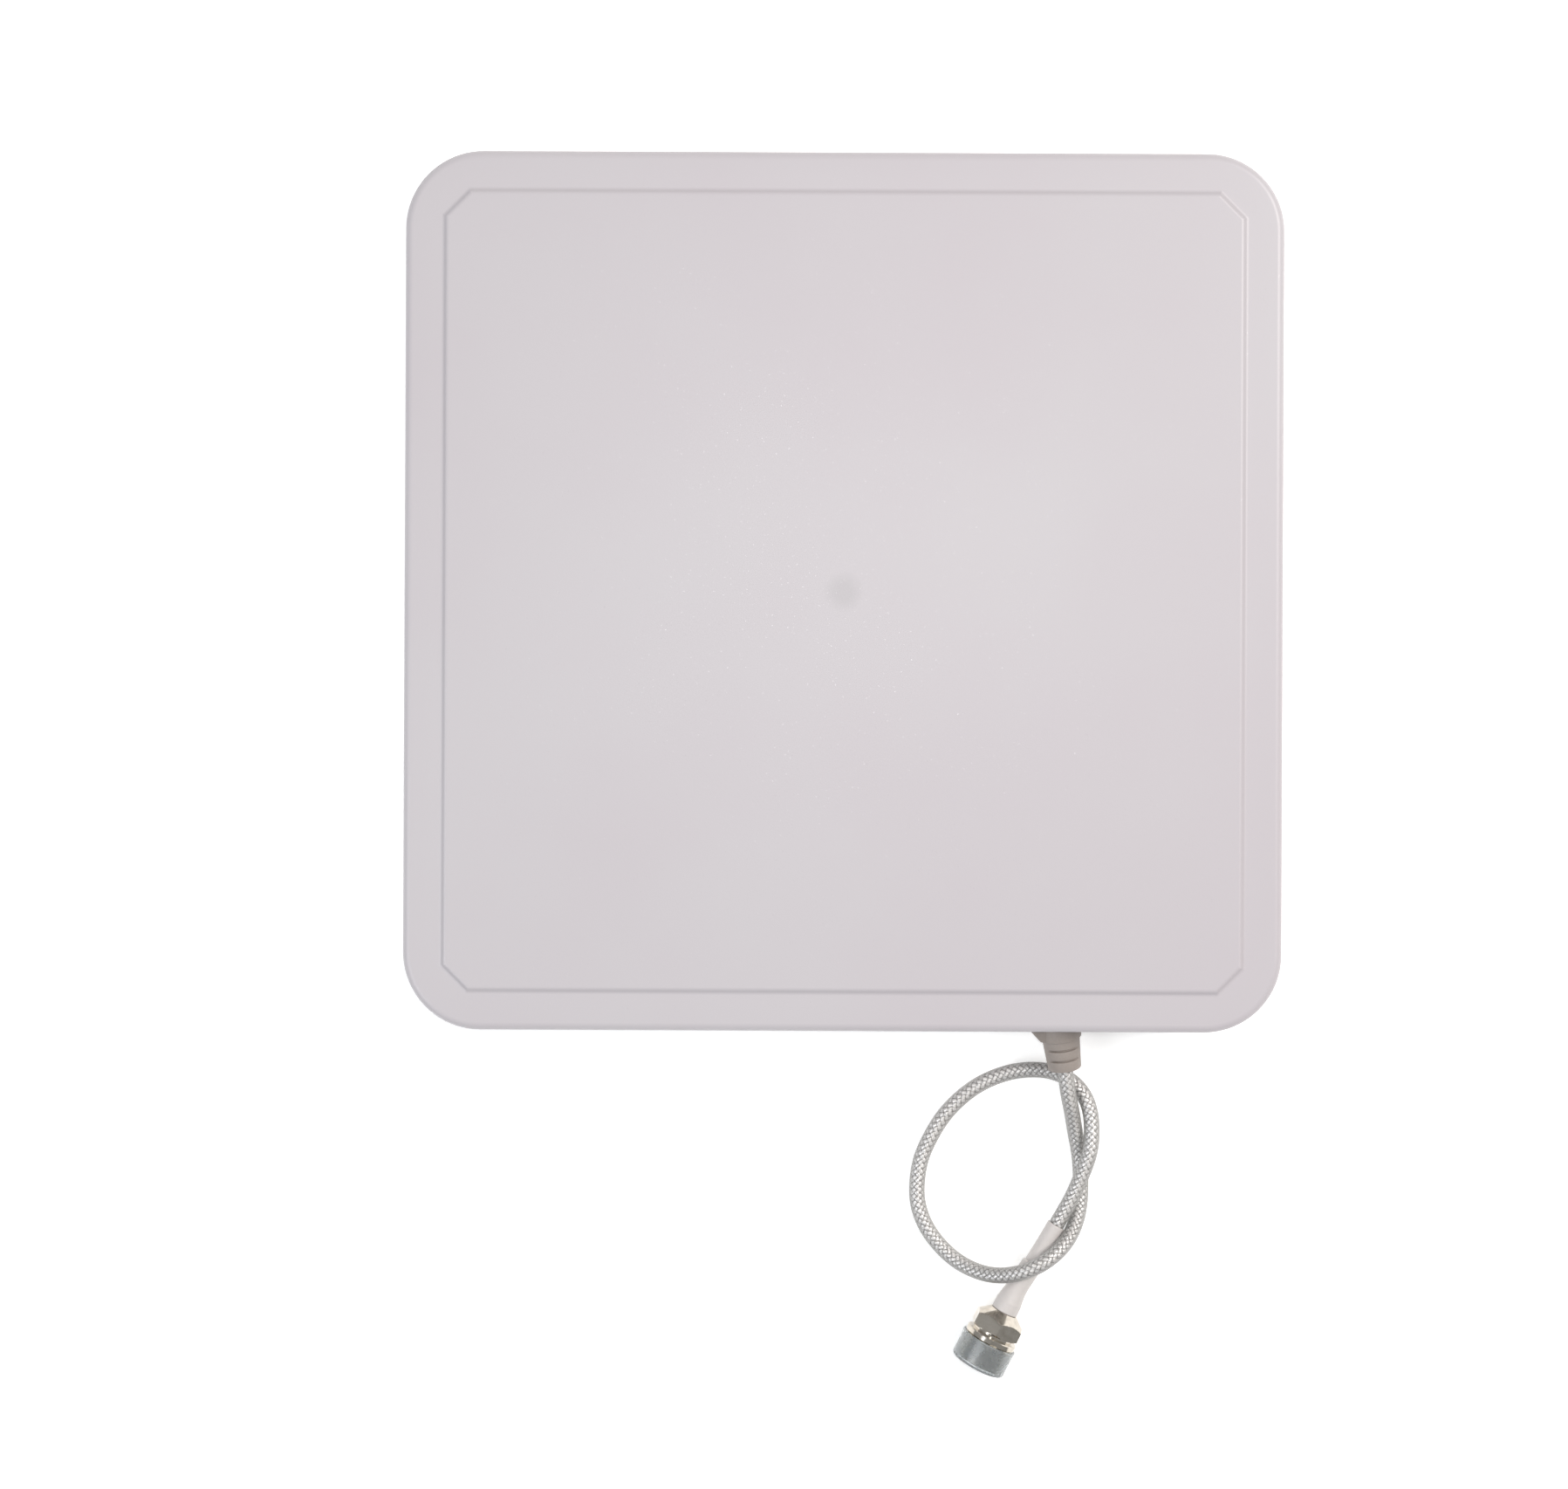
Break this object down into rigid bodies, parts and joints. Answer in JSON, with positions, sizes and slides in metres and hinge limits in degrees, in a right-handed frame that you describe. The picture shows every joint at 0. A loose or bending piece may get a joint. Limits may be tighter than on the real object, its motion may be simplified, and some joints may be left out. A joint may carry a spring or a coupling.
{
  "type": "security gate panel antenna",
  "caption": "Square white radio panel antenna of a shop security gate: moulded radome, flat back with threaded holes, and a short coax pigtail ending in a capped jack.",
  "frame": {"origin": "centre of the flat back face, on the surface that the panel lies on", "axes": "+Z out of the front face, +Y away from the side that the cable leaves, +X to the right seen from the front"},
  "size_m": [0.26, 0.3674, 0.033],
  "materials": {
    "abs_shell": "fine moulded texture",
    "plate_aluminium": "brushed",
    "patch_aluminium": "mill",
    "gasket_foam": "matt",
    "zinc_steel": "zinc plated",
    "nylon": "natural",
    "board_laminate": "solder resist",
    "copper": "etched",
    "probe_brass": "turned",
    "ceramic": "glazed",
    "braided_coax": "tinned braid under a clear jacket",
    "ptfe": "waxy",
    "boot_rubber": "matt moulded",
    "heat_shrink": "satin",
    "nickel_plate": "polished nickel",
    "gold_contact": "polished",
    "cap_polyethylene": "translucent"
  },
  "bodies": {
    "panel": {"radome": "abs_shell", "ground_plate": "plate_aluminium", "plate_gasket": "gasket_foam", "cover_screws": "zinc_steel", "mounting_nuts": "zinc_steel", "base_screws": "zinc_steel", "centre_post": "patch_aluminium", "patch_standoffs": "nylon", "driven_patch": "patch_aluminium", "patch_screws": "nylon", "patch_spacer": "nylon", "parasitic_patch": "patch_aluminium", "centre_screw": "zinc_steel", "feed_board": "board_laminate", "coupler_tracks": "copper", "feed_probes": "probe_brass", "termination_resistor": "ceramic", "small_screws": "zinc_steel", "cable_saddle": "nylon", "inner_coax": "braided_coax", "core_insulator": "ptfe", "centre_conductor": "copper", "strain_relief": "boot_rubber", "coax_pigtail": "braided_coax", "inner_sleeve": "heat_shrink", "outer_sleeve": "heat_shrink", "crimp_ferrule": "nickel_plate", "jack_body": "nickel_plate", "jack_insulator": "ptfe", "jack_contact": "gold_contact"},
    "dust_cap": {"dust_cap": "cap_polyethylene"}
  },
  "joints": [
    {"name": "dust_cap_pull", "type": "slide", "parent": "panel", "child": "dust_cap", "axis": [-0.4472, -0.8944, 0], "range_m": [0, 0.012]}
  ]
}
